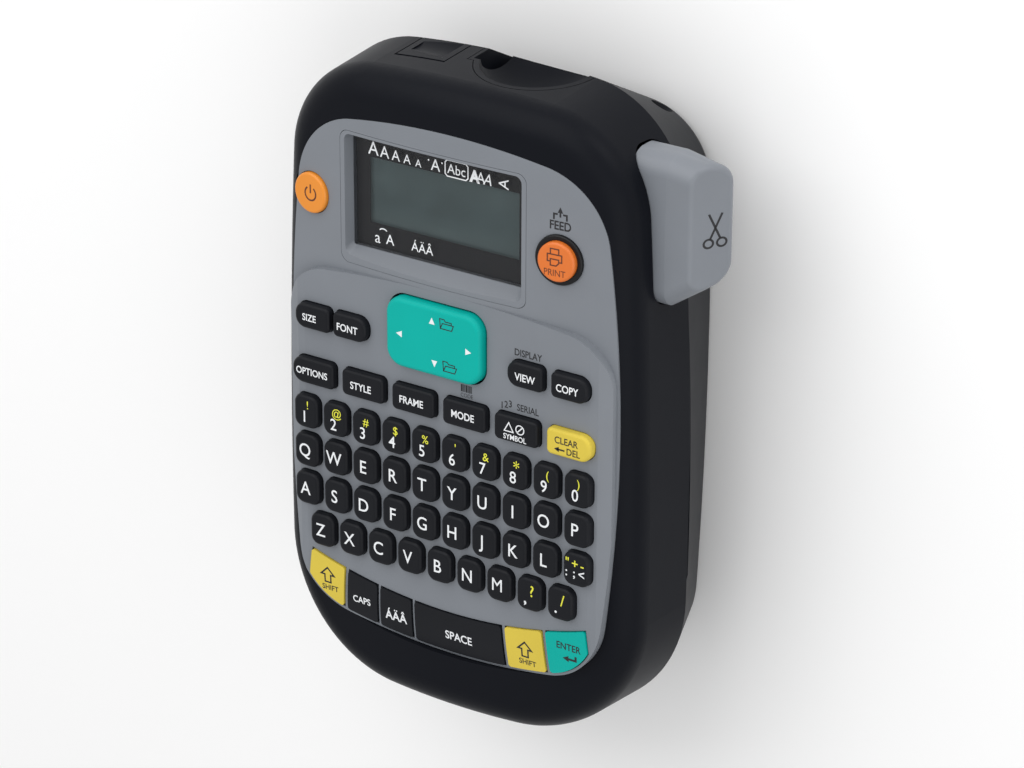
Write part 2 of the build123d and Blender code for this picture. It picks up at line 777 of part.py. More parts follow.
def make_chassis():
    """Moulded tray: a floor between gears and bays, and the walls of both bays."""
    floor = slab(case_outline(4.2), floor_low, floor_high)
    floor -= box(-60, 60, 63.4, 90, 30, 40)
    floor -= box(33.5, 60, 27.5, 90, 30, 40)
    for x, y in boss_places:
        floor -= post(x, y, boss_radius + 0.4, 30, 40)
    tape_bay = ring_wall(-cartridge_half - 0.6, cartridge_half + 0.6, cartridge_low_y - 0.6,
                         cartridge_high_y + 0.6, bay_low, floor_low)
    tape_bay -= box(-19.5, 9.5, cartridge_high_y - 1, cartridge_high_y + 4, 0, floor_low)
    cell_bay = ring_wall(-cells_half_x, cells_half_x, cells_low_y, cells_high_y, bay_low, floor_low)
    tray = floor + tape_bay + cell_bay
    tray += post(idler_x, idler_y, 1.2, floor_high - 0.5, gear_high + 0.4)
    tray -= post(platen_x, platen_y, shaft_radius + running_gap, 30, 40)
    tray -= post(spindle_x, spindle_y, shaft_radius + running_gap, 30, 40)
    tray -= post(motor_x, motor_y, 2.6, 30, 40)
    room = rear_cavity(wall + 0.5) + slab(case_outline(wall + 0.5), seam_z, deck_low, taper=front_draft)
    return tray & room


def make_case_screws():
    solids = []
    for x, y in boss_places:
        screw = post(x, y, 2.3, 14.2, 16.0) + post(x, y, screw_radius, 15.9, 36.0)
        slot = Pos(x, y, 14.4) * (Box(2.6, 0.6, 0.8) + Box(0.6, 2.6, 0.8))
        solids.append((screw - slot).solid())
    return Compound(children=solids)


# ---------------------------------------------------------------- print mechanism
def gear_face(teeth, phase):
    """Spur gear outline with slim straight-sided teeth. phase is the direction of one tooth."""
    pitch = gear_module * teeth / 2
    root = pitch - 1.15 * gear_module
    tip = pitch + 0.85 * gear_module
    step = 2 * pi / teeth
    points = []
    for i in range(teeth):
        middle = radians(phase) + i * step
        for radius, share in ((root, -0.27), (tip, -0.12), (tip, 0.12), (root, 0.27)):
            angle = middle + share * step
            points.append((radius * cos(angle), radius * sin(angle)))
    return make_face(Polyline(*points, close=True))


def make_gear(x, y, teeth, phase, low=gear_low, high=gear_high):
    return slab(Pos(x, y) * gear_face(teeth, phase), low, high)


def make_drive_motor():
    can = post(motor_x, motor_y, 7.8, 15.0, floor_low - 0.2)
    can = fillet(can.faces().sort_by(Axis.Z)[0].edges(), 1.2)
    collar = post(motor_x, motor_y, 2.4, floor_low - 0.3, floor_high)
    tail = post(motor_x, motor_y, 2.0, 13.4, 15.1)
    return can + collar + tail


def make_motor_pinion():
    gear = make_gear(motor_x, motor_y, pinion_teeth, train_angle + 180)
    return gear + post(motor_x, motor_y, 0.9, floor_high + 0.2, gear_high + 0.8)


def make_idler_gear():
    half_step = 180 / idler_teeth
    gear = make_gear(idler_x, idler_y, idler_teeth, train_angle + half_step)
    return gear - post(idler_x, idler_y, 1.2 + running_gap, 30, 45)


def make_platen_shaft():
    shaft = post(platen_x, platen_y, shaft_radius, 8.8, gear_high + 1.0)
    return shaft


def make_platen_gear():
    gear = make_gear(platen_x, platen_y, platen_teeth, train_angle)
    return gear - post(platen_x, platen_y, shaft_radius, 30, 45)


def make_platen_roller():
    roller = post(platen_x, platen_y, platen_radius, tape_low - 0.5, tape_high + 0.5)
    return roller - post(platen_x, platen_y, shaft_radius, 8, 40)


def make_ribbon_spindle():
    half_step = 180 / ribbon_teeth
    gear = make_gear(spindle_x, spindle_y, ribbon_teeth, ribbon_angle + 180 + half_step)
    stem = post(spindle_x, spindle_y, shaft_radius, 12.4, gear_low + 0.1)
    splines = post(spindle_x, spindle_y, shaft_radius, 12.4, 20)
    for i in range(3):
        rib = Pos(spindle_x, spindle_y, 21.0) * Rot(0, 0, i * 60) * Box(2 * 2.2, 0.7, 17.2)
        splines += rib
    return gear + stem + splines


def make_printer_frame():
    """Steel plate that carries the lower ends of the platen shaft and the head pin."""
    plate = box(-17.5, 6.5, 47.0, 62.5, 9.4, 10.4) + box(-6.6, 6.5, 40.0, 47.1, 9.4, 10.4)
    plate -= post(platen_x, platen_y, shaft_radius + running_gap, 5, 15)
    plate += post(head_pin_x, head_pin_y, shaft_radius, 8.6, floor_low)
    for x0, x1 in ((-17.5, -16.5), (5.5, 6.5)):
        plate += box(x0, x1, 58.0, 62.5, 9.4, floor_low)
    return plate


def make_head_arm():
    """Aluminium heat sink on its pivot, carrying the head."""
    back = box(tape_x + 1.4, tape_x + 4.4, 46.4, 62.0, tape_low - 0.6, tape_high + 0.6)
    hub = post(head_pin_x, head_pin_y, 2.9, tape_low - 0.6, tape_high + 0.6)
    web = box(tape_x + 1.9, tape_x + 4.9, 43.2, 47.0, tape_low - 0.6, tape_high + 0.6)
    arm = back + hub + web
    for i in range(4):
        z = tape_low + 1.5 + i * 4.8
        arm -= box(tape_x + 3.2, tape_x + 5, 49.0, 61.0, z, z + 2.2)
    return arm - post(head_pin_x, head_pin_y, shaft_radius + running_gap, 5, 40)


def make_print_head():
    return box(tape_x + 0.3, tape_x + 1.35, 47.5, 60.5, tape_low, tape_high)


# ---------------------------------------------------------------- cartridge
def make_cartridge_case():
    shell = box(-cartridge_half, cartridge_half, cartridge_low_y, cartridge_high_y,
                cartridge_low_z, cartridge_high_z)
    shell = fillet(shell.edges().filter_by(Axis.Z), 4)
    hollow = box(-cartridge_half + 1.2, cartridge_half - 1.2, cartridge_low_y + 1.2, cartridge_high_y - 1.2,
                 cartridge_low_z + 1.2, cartridge_high_z - 1.2)
    notch = box(-7.2, 9.4, 38.6, 50, 0, 40)
    notch_wall = box(-8.4, 10.6, 37.4, cartridge_high_y - 0.6, cartridge_low_z + 0.5, cartridge_high_z - 0.5)
    shell = (shell - hollow) + notch_wall - notch
    shell -= box(tape_x - 0.8, tape_x + 0.8, 36, 40, tape_low - 0.6, tape_high + 0.6)
    shell += post(tape_roll_x, tape_roll_y, 3.0, cartridge_low_z + 0.5, cartridge_high_z - 0.5)
    shell += post(supply_x, supply_y, 2.0, cartridge_low_z + 0.5, cartridge_high_z - 0.5)
    return shell - post(spindle_x, spindle_y, 3.2, cartridge_high_z - 3, cartridge_high_z + 1)


def make_spool(x, y, outer, inner):
    return post(x, y, outer, tape_low, tape_high) - post(x, y, inner, 5, 40)


def make_tape_strip():
    half = tape_thickness / 2
    return box(tape_x - half, tape_x + half, 38.0, cut_y - 0.1, tape_low, tape_high)


# ---------------------------------------------------------------- cutter
def cutter_profile(grow=0.0, low_y=cutter_low_y, high_y=cutter_high_y, drop=0.0):
    """Rounded outline of the cutter button, seen from the side."""
    height = cutter_high_z - cutter_low_z - 2 * drop
    face = RectangleRounded(high_y - low_y + 2 * grow, height + 2 * grow, 4.9 + grow)
    return Pos((low_y + high_y) / 2, (cutter_low_z + cutter_high_z) / 2) * face


def make_cutter_button():
    """Side button that narrows outwards to a leaning face, with the slider that drives the blade."""
    end_x = cutter_face_x + 2
    length = cutter_base_x - cutter_inner_x
    straight = extrude(Plane.YZ.offset(cutter_inner_x) * cutter_profile(), amount=length)
    inner_side = (Plane.YZ.offset(cutter_base_x) * cutter_profile()).face()
    outer_side = cutter_profile(0.0, cutter_low_y + 10.5, cutter_high_y - 2.5, 1.2)
    outer_side = (Plane.YZ.offset(end_x) * outer_side).face()
    cap = straight + loft([inner_side, outer_side])
    lean = degrees(atan2(cutter_face_x - cutter_ridge_x, cutter_high_z - cutter_low_z))
    middle_x = (cutter_face_x + cutter_ridge_x) / 2
    middle_z = (cutter_low_z + cutter_high_z) / 2
    cap -= Pos(middle_x, 55, middle_z) * Rot(0, -lean, 0) * Pos(20, 0, 0) * Box(40, 90, 80)
    cap = fillet(cap.faces().sort_by(Axis.X)[-1].edges(), 1.6)
    slider = box(34.0, 48.0, 42.0, 66.0, slider_low, slider_high)
    arm = box(7.4, 40.0, 62.8, 66.4, slider_low, slider_high)
    nose = box(7.4, 12.0, 62.8, 69.3, slider_low, slider_high)
    return cap + slider + arm + nose


def make_fixed_blade():
    """Steel plate with the standing edge, and the pin for the moving blade."""
    edge_x = tape_x - 0.2
    outline = Polyline((-10, 8.6), (5, 8.6), (5, 13), (edge_x, 13), (edge_x, 35.5), (-10, 35.5), close=True)
    plate = extrude(Plane.XZ.offset(-cut_y) * make_face(outline), amount=blade_thickness)
    pin = Pos(blade_pivot_x, cut_y + 0.4, blade_pivot_z) * Rot(90, 0, 0) * Cylinder(1.2, 2.4)
    return plate + pin


def make_moving_blade():
    """Blade that swings across the tape, pushed at its upper end by the button's slider."""
    outline = Polyline((-1.6, 9.4), (-3.2, 12.6), (-0.2, 34), (2.4, 37), (2.4, 41), (6.4, 41), (6.4, 34),
                       (4.8, 12), (4.2, 8.8), (1.0, 8.2), close=True)
    start = Plane.XZ.offset(-(cut_y + 0.08 + blade_thickness))
    blade = extrude(start * make_face(outline), amount=blade_thickness)
    hole = Pos(blade_pivot_x, cut_y, blade_pivot_z) * Rot(90, 0, 0) * Cylinder(1.2 + running_gap, 8)
    return blade - hole


# ---------------------------------------------------------------- write every node
def main():
    os.makedirs("parts", exist_ok=True)
    save("front_case", make_front_case())
    save("rear_case", make_rear_case())
    save("faceplate", make_faceplate())
    save("back_lid", make_back_lid())
    save("lid_latch", make_lid_latch())
    save("tape_exit_guide", make_tape_exit_guide())
    save("display_bezel", make_display_bezel())
    save("display_window", make_display_window())
    save("lcd_panel", make_lcd_panel())
    save("keypad_membrane", make_keypad_membrane())
    for row, name in enumerate(character_rows):
        save(name, make_character_row(row))
    for name, face, x, y in wide_keys():
        save(name, make_wide_key(face, x, y))
    for name, left, right in fan_keys:
        save(name, make_fan_key(left, right))
    save("nav_pad", make_nav_pad())
    save("nav_gimbal", make_nav_gimbal())
    save("power_button", make_round_button(power_x, power_y, power_radius, 1.1, 3.6))
    save("print_button", make_round_button(print_x, print_y, print_radius, 2.2, 2.2))
    save("print_ring", make_print_ring())
    save("main_board", make_main_board())
    save("board_components", make_board_components())
    save("dc_jack", make_dc_jack())
    save("battery_cells", make_battery_cells())
    save("battery_contacts", make_battery_contacts())
    save("chassis", make_chassis())
    save("case_screws", make_case_screws())
    save("drive_motor", make_drive_motor())
    save("motor_pinion", make_motor_pinion())
    save("idler_gear", make_idler_gear())
    save("platen_shaft", make_platen_shaft())
    save("platen_gear", make_platen_gear())
    save("platen_roller", make_platen_roller())
    save("ribbon_spindle", make_ribbon_spindle())
    save("printer_frame", make_printer_frame())
    save("head_arm", make_head_arm())
    save("print_head", make_print_head())
    save("cartridge_case", make_cartridge_case())
    save("tape_roll", make_spool(tape_roll_x, tape_roll_y, 18.0, 3.3))
    save("ribbon_supply", make_spool(supply_x, supply_y, 7.0, 2.3))
    save("ribbon_takeup", make_spool(spindle_x, spindle_y, 4.6, 2.5))
    save("tape_strip", make_tape_strip())
    save("cutter_button", make_cutter_button())
    save("fixed_blade", make_fixed_blade())
    save("moving_blade", make_moving_blade())


main()
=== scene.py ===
from math import cos, pi, sin

import bpy
from mathutils import Matrix, Vector
from mathutils.bvhtree import BVHTree


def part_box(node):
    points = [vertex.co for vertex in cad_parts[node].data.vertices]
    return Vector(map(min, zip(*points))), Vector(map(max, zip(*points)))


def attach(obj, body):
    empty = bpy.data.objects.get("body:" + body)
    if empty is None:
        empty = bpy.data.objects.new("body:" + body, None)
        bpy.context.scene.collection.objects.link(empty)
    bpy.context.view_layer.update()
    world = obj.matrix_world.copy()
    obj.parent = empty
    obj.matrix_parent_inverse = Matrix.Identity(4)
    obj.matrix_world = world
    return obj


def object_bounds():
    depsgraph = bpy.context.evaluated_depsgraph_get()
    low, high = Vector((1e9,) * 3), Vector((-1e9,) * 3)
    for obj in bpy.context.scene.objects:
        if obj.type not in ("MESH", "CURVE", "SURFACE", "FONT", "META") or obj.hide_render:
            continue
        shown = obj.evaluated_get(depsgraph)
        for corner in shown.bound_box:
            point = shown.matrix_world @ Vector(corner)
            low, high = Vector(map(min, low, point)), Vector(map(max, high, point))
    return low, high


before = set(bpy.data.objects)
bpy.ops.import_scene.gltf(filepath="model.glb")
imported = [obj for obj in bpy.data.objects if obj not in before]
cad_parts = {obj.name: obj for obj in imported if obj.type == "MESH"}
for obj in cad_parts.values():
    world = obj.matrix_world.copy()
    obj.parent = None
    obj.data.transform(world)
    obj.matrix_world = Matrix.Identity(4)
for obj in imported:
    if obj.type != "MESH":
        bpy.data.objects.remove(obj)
cad_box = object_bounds()

# The frame is in metres. Artwork, its places and its line widths are in millimetres.
MM = 0.001
CAP_HEIGHT = 0.682         # height of a capital letter of the built-in font at size 1
FILM = 0.03                # height of a printed mark above its surface
LETTER_BOLD = 0.006        # how much letters are fattened, for the built-in font at size 1
SMALL_BOLD = 0.012
WORD_BOLD = 0.016
SIGN_LINE = 0.42           # line widths of the small signs
THIN_LINE = 0.28


def middle(node):
    """Centre of a node seen from the front, in millimetres."""
    low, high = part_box(node)
    return (low[0] + high[0]) / 2 / MM, (low[1] + high[1]) / 2 / MM


# ---------------------------------------------------------------- materials
CLOUD_SCALE = 60           # patches of tone, counted over a metre
SMUDGE_SCALE = 140         # patches of gloss
GRAIN_DEPTH = 0.00004      # in metres, like every distance in a shader
MARK_SCALE = 900           # marks on metal
MARK_DEPTH = 0.00002
NOISE_LOW = 0.3            # part of the noise's range that is used
NOISE_HIGH = 0.7


class Shading:
    """Material under construction, with the few nodes that all of them are made from."""

    def __init__(self, name):
        self.material = bpy.data.materials.new(name)
        self.material.use_nodes = True
        self.nodes = self.material.node_tree.nodes
        self.links = self.material.node_tree.links
        self.shader = self.nodes["Principled BSDF"]
        self.coords = self.nodes.new("ShaderNodeTexCoord").outputs["Object"]

    def set(self, socket, value):
        """Give a socket of the shader a constant."""
        self.shader.inputs[socket].default_value = value

    def feed(self, output, socket):
        """Lead a node's output to a socket of the shader."""
        self.links.new(output, self.shader.inputs[socket])

    def stretched(self, scale):
        """Coordinates drawn out along the axes with a small scale."""
        mapping = self.nodes.new("ShaderNodeMapping")
        mapping.inputs["Scale"].default_value = scale
        self.links.new(self.coords, mapping.inputs["Vector"])
        return mapping.outputs["Vector"]

    def noise(self, coords, scale, detail):
        tex = self.nodes.new("ShaderNodeTexNoise")
        tex.inputs["Scale"].default_value = scale
        tex.inputs["Detail"].default_value = detail
        tex.inputs["Roughness"].default_value = 0.5
        self.links.new(coords, tex.inputs["Vector"])
        return tex.outputs["Fac"]

    def spread(self, value, low, high):
        """Noise spread over a new range."""
        node = self.nodes.new("ShaderNodeMapRange")
        node.inputs["From Min"].default_value = NOISE_LOW
        node.inputs["From Max"].default_value = NOISE_HIGH
        node.inputs["To Min"].default_value = low
        node.inputs["To Max"].default_value = high
        self.links.new(value, node.inputs["Value"])
        return node.outputs["Result"]

    def blend(self, value, first, second):
        """Colour that runs from first to second with the noise."""
        node = self.nodes.new("ShaderNodeMix")
        node.data_type = "RGBA"
        factor, colour_a, colour_b = node.inputs[0], node.inputs[6], node.inputs[7]
        colour_a.default_value = (*first, 1)
        colour_b.default_value = (*second, 1)
        self.links.new(self.spread(value, 0, 1), factor)
        return node.outputs[2]

    def bump(self, height, strength, depth):
        node = self.nodes.new("ShaderNodeBump")
        node.inputs["Strength"].default_value = strength
        node.inputs["Distance"].default_value = depth
        self.links.new(height, node.inputs["Height"])
        self.feed(node.outputs["Normal"], "Normal")


def moulded(name, colour, rough, grain=0.35, grain_scale=2600, tone_change=0.08, gloss_change=0.1,
            specular=0.5, coat=0.0):
    """Moulded plastic or rubber: fine grain, slight change of tone and gloss."""
    look = Shading(name)
    darker = [c * (1 - tone_change) for c in colour]
    lighter = [min(1.0, c * (1 + tone_change)) for c in colour]
    look.feed(look.blend(look.noise(look.coords, CLOUD_SCALE, 4), darker, lighter), "Base Color")
    smudge = look.noise(look.coords, SMUDGE_SCALE, 5)
    look.feed(look.spread(smudge, rough * (1 - gloss_change), rough * (1 + gloss_change)), "Roughness")
    look.set("Specular IOR Level", specular)
    look.set("Coat Weight", coat)
    look.bump(look.noise(look.coords, grain_scale, 2), grain, GRAIN_DEPTH)
    return look.material


def metal(name, colour, rough, stretch=(1, 1, 14)):
    """Metal with fine marks drawn out along one direction."""
    look = Shading(name)
    marks = look.noise(look.stretched(stretch), MARK_SCALE, 4)
    look.set("Metallic", 1.0)
    look.feed(look.blend(marks, [c * 0.85 for c in colour], colour), "Base Color")
    look.feed(look.spread(marks, rough * 0.8, rough * 1.25), "Roughness")
    look.bump(marks, 0.15, MARK_DEPTH)
    return look.material


def clear_pane(name):
    """Clear hard window, thin enough to see through without bending the view."""
    look = Shading(name)
    haze = look.noise(look.coords, 90, 4)
    look.set("Base Color", (0.006, 0.007, 0.009, 1))
    look.set("Specular IOR Level", 0.9)
    look.feed(look.spread(haze, 0.28, 0.34), "Alpha")
    look.feed(look.spread(haze, 0.05, 0.12), "Roughness")
    return look.material


def glass_with_painted_reflection(name, dark, light):
    """Display cell with painted reflection: soft lighter and darker bands across its colour, drawn where
    streaks of reflected light lie.
    """
    look = Shading(name)
    # painted reflection: noise stretched along x makes bands across the colour in place of reflected streaks
    painted_reflection_bands = look.noise(look.stretched((0.12, 1.0, 1.0)), 110, 2)
    look.feed(look.blend(painted_reflection_bands, dark, light), "Base Color")
    look.set("Roughness", 0.3)
    return look.material


MATERIALS = {
    "case": moulded("case_black", (0.0052, 0.006, 0.009), 0.42, grain=0.22, tone_change=0.03,
                    gloss_change=0.02, specular=0.08),
    "plate": moulded("plate_grey", (0.190, 0.205, 0.229), 0.42, grain=0.2, tone_change=0.03, specular=0.4),
    "ring": moulded("ring_black", (0.004, 0.004, 0.005), 0.35, grain=0.1, specular=0.3),
    "key": moulded("key_rubber", (0.006, 0.0068, 0.0095), 0.46, grain=0.35, grain_scale=3400, specular=0.18),
    "yellow": moulded("key_yellow", (0.66, 0.51, 0.065), 0.45, tone_change=0.03, specular=0.2),
    "teal": moulded("key_teal", (0.0, 0.395, 0.34), 0.45, tone_change=0.03, specular=0.15),
    "orange_power": moulded("button_power", (0.76, 0.255, 0.02), 0.35, grain=0.1, tone_change=0.02),
    "orange_print": moulded("button_print", (0.68, 0.158, 0.02), 0.35, grain=0.1, tone_change=0.02),
    "window": clear_pane("window_pane"),
    "mask": moulded("window_ink", (0.020, 0.021, 0.026), 0.5, grain=0.05, specular=0.2),
    # the display colour runs between its two tones in painted reflection bands
    "lcd": glass_with_painted_reflection("lcd_glass", (0.140, 0.215, 0.225), (0.205, 0.295, 0.303)),
    "white": moulded("legend_white", (0.80, 0.82, 0.84), 0.6, grain=0.1, tone_change=0.02),
    "lime": moulded("legend_lime", (0.75, 0.74, 0.05), 0.6, grain=0.1, tone_change=0.02),
    "ink": moulded("legend_black", (0.012, 0.012, 0.014), 0.6, grain=0.1),
    "brown": moulded("legend_brown", (0.10, 0.025, 0.01), 0.6, grain=0.1),
    "steel": metal("steel", (0.62, 0.62, 0.64), 0.32),
    "aluminium": metal("aluminium", (0.78, 0.78, 0.80), 0.38, (14, 1, 1)),
    "brass": metal("brass", (0.80, 0.58, 0.24), 0.3),
    "board": moulded("circuit_board", (0.012, 0.11, 0.045), 0.35, grain=0.2, tone_change=0.25),
    "chip": moulded("chip_black", (0.014, 0.014, 0.016), 0.5),
    "gear": moulded("gear_plastic", (0.70, 0.69, 0.64), 0.45),
    "roller": moulded("roller_rubber", (0.014, 0.014, 0.014), 0.75, grain=0.6),
    "chassis": moulded("chassis_plastic", (0.035, 0.036, 0.040), 0.5),
    "cell": moulded("cell_sleeve", (0.045, 0.10, 0.16), 0.28, grain=0.05, coat=0.4),
    "cartridge": moulded("cartridge_plastic", (0.46, 0.46, 0.44), 0.45),
    "tape": moulded("tape_film", (0.78, 0.78, 0.75), 0.4, grain=0.1),
}

NODE_MATERIALS = {
    "case": ["front_case", "rear_case", "back_lid", "lid_latch", "tape_exit_guide"],
    "ring": ["print_ring"],
    "plate": ["faceplate", "display_bezel", "cutter_button"],
    "window": ["display_window"],
    "lcd": ["lcd_panel"],
    "roller": ["keypad_membrane", "platen_roller"],
    "board": ["main_board"],
    "chip": ["board_components", "dc_jack", "ribbon_supply", "ribbon_takeup"],
    "cell": ["battery_cells"],
    "steel": ["battery_contacts", "case_screws", "drive_motor", "platen_shaft", "printer_frame", "print_head",
              "fixed_blade", "moving_blade"],
    "chassis": ["chassis"],
    "brass": ["motor_pinion"],
    "gear": ["idler_gear", "platen_gear", "ribbon_spindle", "nav_gimbal"],
    "aluminium": ["head_arm"],
    "cartridge": ["cartridge_case"],
    "tape": ["tape_roll", "tape_strip"],
    "teal": ["nav_pad", "key_enter"],
    "yellow": ["key_clear", "key_shift_left", "key_shift_right"],
    "orange_power": ["power_button"],
    "orange_print": ["print_button"],
    "key": ["keys_digits", "keys_upper", "keys_home", "keys_lower", "key_options", "key_style", "key_frame",
            "key_mode", "key_symbol", "key_size", "key_font", "key_preview", "key_copies", "key_caps",
            "key_accent", "key_space"],
}


def paint_nodes():
    """Give every carried-over node its material."""
    for material, nodes in NODE_MATERIALS.items():
        for node in nodes:
            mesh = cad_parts[node].data
            mesh.materials.clear()
            mesh.materials.append(MATERIALS[material])


# ---------------------------------------------------------------- mesh helpers
def link_mesh(name, verts, faces, material, body):
    """New piece that rides on a body, from plain lists in metres."""
    mesh = bpy.data.meshes.new(name)
    mesh.from_pydata(verts, [], faces)
    mesh.validate()
    mesh.materials.append(MATERIALS[material])
    piece = bpy.data.objects.new(name, mesh)
    bpy.context.scene.collection.objects.link(piece)
    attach(piece, body)


def surface_of(objects):
    """Search tree over the given pieces, used to lay prints on them."""
    verts = []
    faces = []
    for obj in objects:
        base = len(verts)
        verts.extend(v.co.copy() for v in obj.data.vertices)
        faces.extend([i + base for i in p.vertices] for p in obj.data.polygons)
    return BVHTree.FromPolygons(verts, faces)


SHARPEST_JOIN = 0.35       # limits how far the corner of a thick line sticks out
RAY_START = 0.1            # prints are dropped from this far out, in metres
DISC_SIDES = 24
RING_SIDES = 32


class Sheet:
    """Flat artwork in millimetres, laid on a surface as a thin film."""

    def __init__(self):
        self.verts = []
        self.faces = []

    def add(self, verts, faces):
        base = len(self.verts)
        self.verts.extend(verts)
        self.faces.extend([i + base for i in face] for face in faces)

    def polygon(self, points):
        """Solid shape with the given corners."""
        self.add(points, [list(range(len(points)))])

    def stroke(self, points, width, closed=False):
        """Line of even width through the points, with joined corners."""
        count = len(points)
        left = []
        right = []
        for i, (x, y) in enumerate(points):
            before = points[i - 1] if (i > 0 or closed) else None
            after = points[(i + 1) % count] if (i < count - 1 or closed) else None
            dirs = []
            if before is not None:
                dirs.append(Vector((x - before[0], y - before[1])).normalized())
            if after is not None:
                dirs.append(Vector((after[0] - x, after[1] - y)).normalized())
            along = sum(dirs, Vector((0, 0))).normalized()
            reach = width / 2 / max(SHARPEST_JOIN, along.dot(dirs[0]))
            side = Vector((-along.y, along.x)) * reach
            left.append((x + side.x, y + side.y))
            right.append((x - side.x, y - side.y))
        steps = count if closed else count - 1
        faces = []
        for i in range(steps):
            j = (i + 1) % count
            faces.append([i, j, count + j, count + i])
        self.add(left + right, faces)

    def disc(self, x, y, radius):
        angles = [2 * pi * i / DISC_SIDES for i in range(DISC_SIDES)]
        self.polygon([(x + radius * cos(a), y + radius * sin(a)) for a in angles])

    def ring(self, x, y, radius, width, start=0.0, sweep=2 * pi):
        """Ring, or the stretch of one from the angle start over the angle sweep."""
        full = abs(sweep - 2 * pi) < 1e-6
        count = RING_SIDES if full else RING_SIDES + 1
        angles = [start + sweep * i / RING_SIDES for i in range(count)]
        self.stroke([(x + radius * cos(a), y + radius * sin(a)) for a in angles], width, closed=full)

    def text(self, words, x, y, height, squeeze=1.0, bold=0.0, turn=0.0, slant=0.0):
        """Words centred at a point. height is that of a capital letter."""
        data = bpy.data.curves.new("words", "FONT")
        data.body = words
        data.align_x = "CENTER"
        data.size = 1.0
        data.resolution_u = 4
        data.offset = bold
        data.shear = slant
        obj = bpy.data.objects.new("words", data)
        bpy.context.scene.collection.objects.link(obj)
        bpy.context.view_layer.update()
        mesh = bpy.data.meshes.new_from_object(obj)
        scale = height / CAP_HEIGHT
        middle = CAP_HEIGHT / 2
        verts = []
        for v in mesh.vertices:
            px = v.co.x * scale * squeeze
            py = (v.co.y - middle) * scale
            verts.append((x + px * cos(turn) - py * sin(turn), y + px * sin(turn) + py * cos(turn)))
        faces = [list(p.vertices) for p in mesh.polygons]
        self.add(verts, faces)
        bpy.data.objects.remove(obj)
        bpy.data.curves.remove(data)
        bpy.data.meshes.remove(mesh)

    def lay(self, name, nodes, material, body, side=False):
        """Drop the artwork on the given nodes, from the front or from the cutter's side."""
        tree = surface_of([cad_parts[node] for node in nodes])
        verts = []
        last = cad_box[1][0] if side else cad_box[1][2]
        for u, v in self.verts:
            start = Vector((RAY_START, u * MM, v * MM)) if side else Vector((u * MM, v * MM, RAY_START))
            way = Vector((-1, 0, 0)) if side else Vector((0, 0, -1))
            hit = tree.ray_cast(start, way)[0]
            if hit is not None:
                last = hit.x if side else hit.z
            height = last + FILM * MM
            verts.append((height, u * MM, v * MM) if side else (u * MM, v * MM, height))
        link_mesh(name, verts, self.faces, material, body)


# ---------------------------------------------------------------- small signs
def triangle(sheet, x, y, turn, size):
    """Solid arrow head that points along an angle."""
    points = []
    back = 2.2
    for angle, reach in ((0, 1.1), (back, 1.05), (-back, 1.05)):
        points.append((x + size * reach * cos(turn + angle), y + size * reach * sin(turn + angle)))
    sheet.polygon(points)


def folder(sheet, x, y):
    """Open folder: its back with the tab, and the leaning front."""
    width = 0.24
    sheet.stroke([(x - 1.7, y - 1.2), (x - 1.9, y + 1.3), (x - 0.6, y + 1.3), (x - 0.3, y + 0.8),
                  (x + 1.5, y + 0.8), (x + 1.5, y + 0.2)], width)
    sheet.stroke([(x - 1.7, y - 1.2), (x - 1.1, y + 0.2), (x + 2.1, y + 0.2), (x + 1.6, y - 1.2)], width,
                 closed=True)


def outline_arrow(sheet, x, y):
    """Hollow arrow that points up."""
    sheet.stroke([(x, y + 2.1), (x + 2.0, y + 0.1), (x + 0.9, y + 0.1), (x + 0.9, y - 2.0),
                  (x - 0.9, y - 2.0), (x - 0.9, y + 0.1), (x - 2.0, y + 0.1)], SIGN_LINE, closed=True)


def left_arrow(sheet, x, y, length, head):
    neck = x - length / 2 + head * 0.6
    sheet.stroke([(x + length / 2, y), (neck, y)], SIGN_LINE)
    triangle(sheet, neck, y, pi, head)


def power_sign(sheet, x, y):
    gap = 0.6              # half of the opening at the top, in radians
    sheet.ring(x, y, 1.75, SIGN_LINE, pi / 2 + gap, 2 * pi - 2 * gap)
    sheet.stroke([(x, y + 0.1), (x, y + 2.35)], SIGN_LINE)


def printer_sign(sheet, x, y):
    """Printer: the sheet going in, the body, and the sheet coming out with a folded corner."""
    width = 0.32
    sheet.stroke([(x - 1.1, y + 0.9), (x - 1.1, y + 2.3), (x + 1.1, y + 2.3), (x + 1.1, y + 0.9)], width)
    sheet.stroke([(x - 1.3, y - 0.9), (x - 1.9, y - 0.9), (x - 1.9, y + 0.9), (x + 1.9, y + 0.9),
                  (x + 1.9, y - 0.9), (x + 1.3, y - 0.9)], width)
    sheet.stroke([(x - 1.1, y - 0.3), (x - 1.1, y - 1.9), (x + 0.4, y - 1.9), (x + 1.1, y - 1.2),
                  (x + 1.1, y - 0.3)], width, closed=True)


def feed_sign(sheet, x, y):
    """Arrow that comes up out of a slot."""
    width = 0.45
    for side in (-1, 1):
        sheet.stroke([(x + side * 1.7, y - 1.2), (x + side * 1.7, y + 0.2), (x + side * 0.7, y + 0.2)], width)
    sheet.stroke([(x, y - 0.5), (x, y + 0.9)], width)
    triangle(sheet, x, y + 1.1, pi / 2, 0.85)


def scissors_sign(sheet, y, z):
    """Open scissors that point at the tape end."""
    width = 0.5
    for side in (-1, 1):
        sheet.stroke([(y + 4.2, z + side * 1.5), (y - 2.2, z - side * 1.2)], width)
        sheet.ring(y - 3.1, z + side * 1.5, 1.05, width)


def bars(sheet, x, y, width, height):
    """Striped code."""
    widths = (0.5, 0.22, 0.22, 0.5, 0.22, 0.38, 0.22)
    gap = (width - sum(widths)) / (len(widths) - 1)
    place = x - width / 2
    for bar in widths:
        sheet.stroke([(place + bar / 2, y - height / 2), (place + bar / 2, y + height / 2)], bar)
        place += bar + gap


